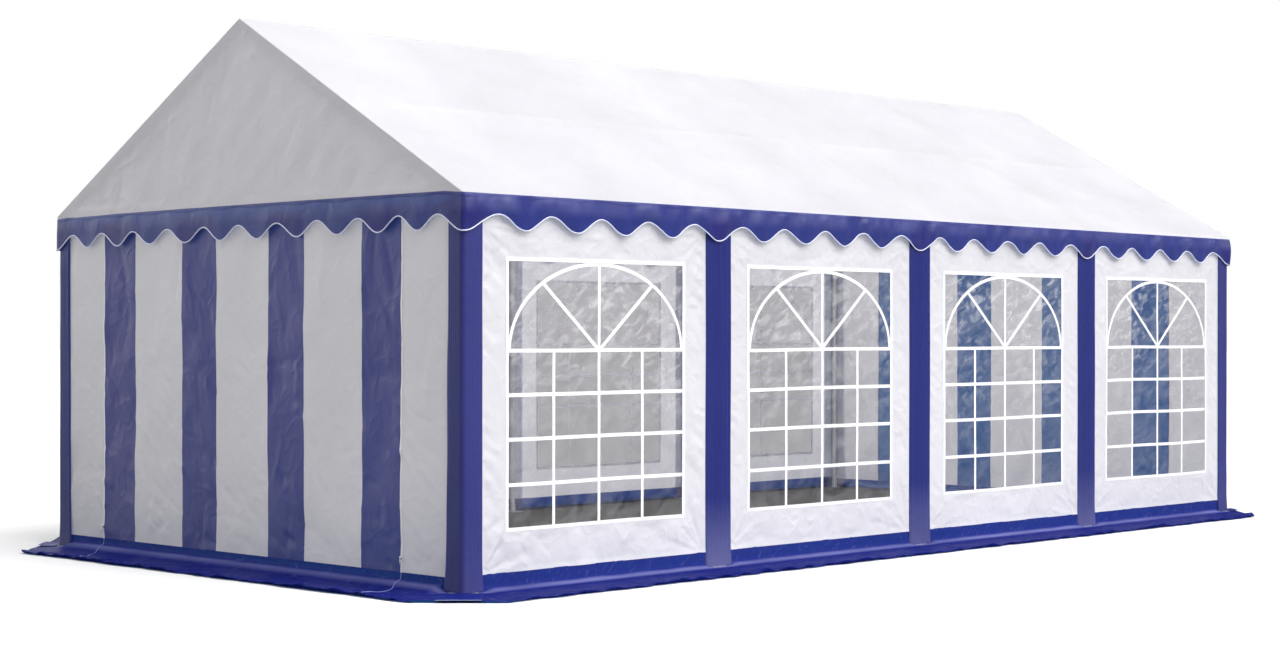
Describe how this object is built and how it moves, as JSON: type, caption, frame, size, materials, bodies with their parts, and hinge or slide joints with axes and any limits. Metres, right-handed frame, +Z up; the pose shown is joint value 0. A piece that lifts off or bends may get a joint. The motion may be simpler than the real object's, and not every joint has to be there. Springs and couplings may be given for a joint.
{
  "type": "party tent",
  "caption": "Gabled party tent: coated sheet roof, striped gable walls, window walls, scalloped valance and ground skirt over a galvanised tube frame.",
  "frame": {"origin": "on the ground, in the middle of the tent's outline", "axes": "+X along the ridge and the long sides, +Y across the tent towards its back long side, +Z up; -Y is the long side and -X the gable that the picture shows"},
  "size_m": [8.988, 4.926, 3.2879],
  "materials": {
    "galvanised_steel": "galvanised, dull",
    "white_sheet": "white coated tarpaulin, satin",
    "blue_sheet": "blue coated tarpaulin, satin",
    "clear_film": "clear soft film, glossy"
  },
  "bodies": {
    "root": {"base_band_back": "blue_sheet", "base_band_front": "blue_sheet", "corner_cover_back_left": "blue_sheet", "corner_cover_back_right": "blue_sheet", "corner_cover_front_left": "blue_sheet", "corner_cover_front_right": "blue_sheet", "eave_rail_back": "galvanised_steel", "eave_rail_front": "galvanised_steel", "gable_blue_stripes_left": "blue_sheet", "gable_blue_stripes_right": "blue_sheet", "gable_end_left": "white_sheet", "gable_end_right": "white_sheet", "gable_white_stripes_left": "white_sheet", "gable_white_stripes_right": "white_sheet", "ground_skirt_back": "blue_sheet", "ground_skirt_front": "blue_sheet", "ground_skirt_left": "blue_sheet", "ground_skirt_right": "blue_sheet", "leg_back_1": "galvanised_steel", "leg_back_2": "galvanised_steel", "leg_back_3": "galvanised_steel", "leg_back_4": "galvanised_steel", "leg_back_5": "galvanised_steel", "leg_front_1": "galvanised_steel", "leg_front_2": "galvanised_steel", "leg_front_3": "galvanised_steel", "leg_front_4": "galvanised_steel", "leg_front_5": "galvanised_steel", "middle_rail_back": "galvanised_steel", "middle_rail_front": "galvanised_steel", "post_cover_back_1": "blue_sheet", "post_cover_back_2": "blue_sheet", "post_cover_back_3": "blue_sheet", "post_cover_front_1": "blue_sheet", "post_cover_front_2": "blue_sheet", "post_cover_front_3": "blue_sheet", "ridge_rail": "galvanised_steel", "roof_bow_1": "galvanised_steel", "roof_bow_2": "galvanised_steel", "roof_bow_3": "galvanised_steel", "roof_bow_4": "galvanised_steel", "roof_bow_5": "galvanised_steel", "roof_sheet_back": "white_sheet", "roof_sheet_front": "white_sheet", "valance_back": "blue_sheet", "valance_front": "blue_sheet", "valance_left": "blue_sheet", "valance_right": "blue_sheet", "window_film_back": "clear_film", "window_film_front": "clear_film", "window_wall_back_1": "white_sheet", "window_wall_back_2": "white_sheet", "window_wall_back_3": "white_sheet", "window_wall_back_4": "white_sheet", "window_wall_front_1": "white_sheet", "window_wall_front_2": "white_sheet", "window_wall_front_3": "white_sheet", "window_wall_front_4": "white_sheet"}
  },
  "joints": []
}
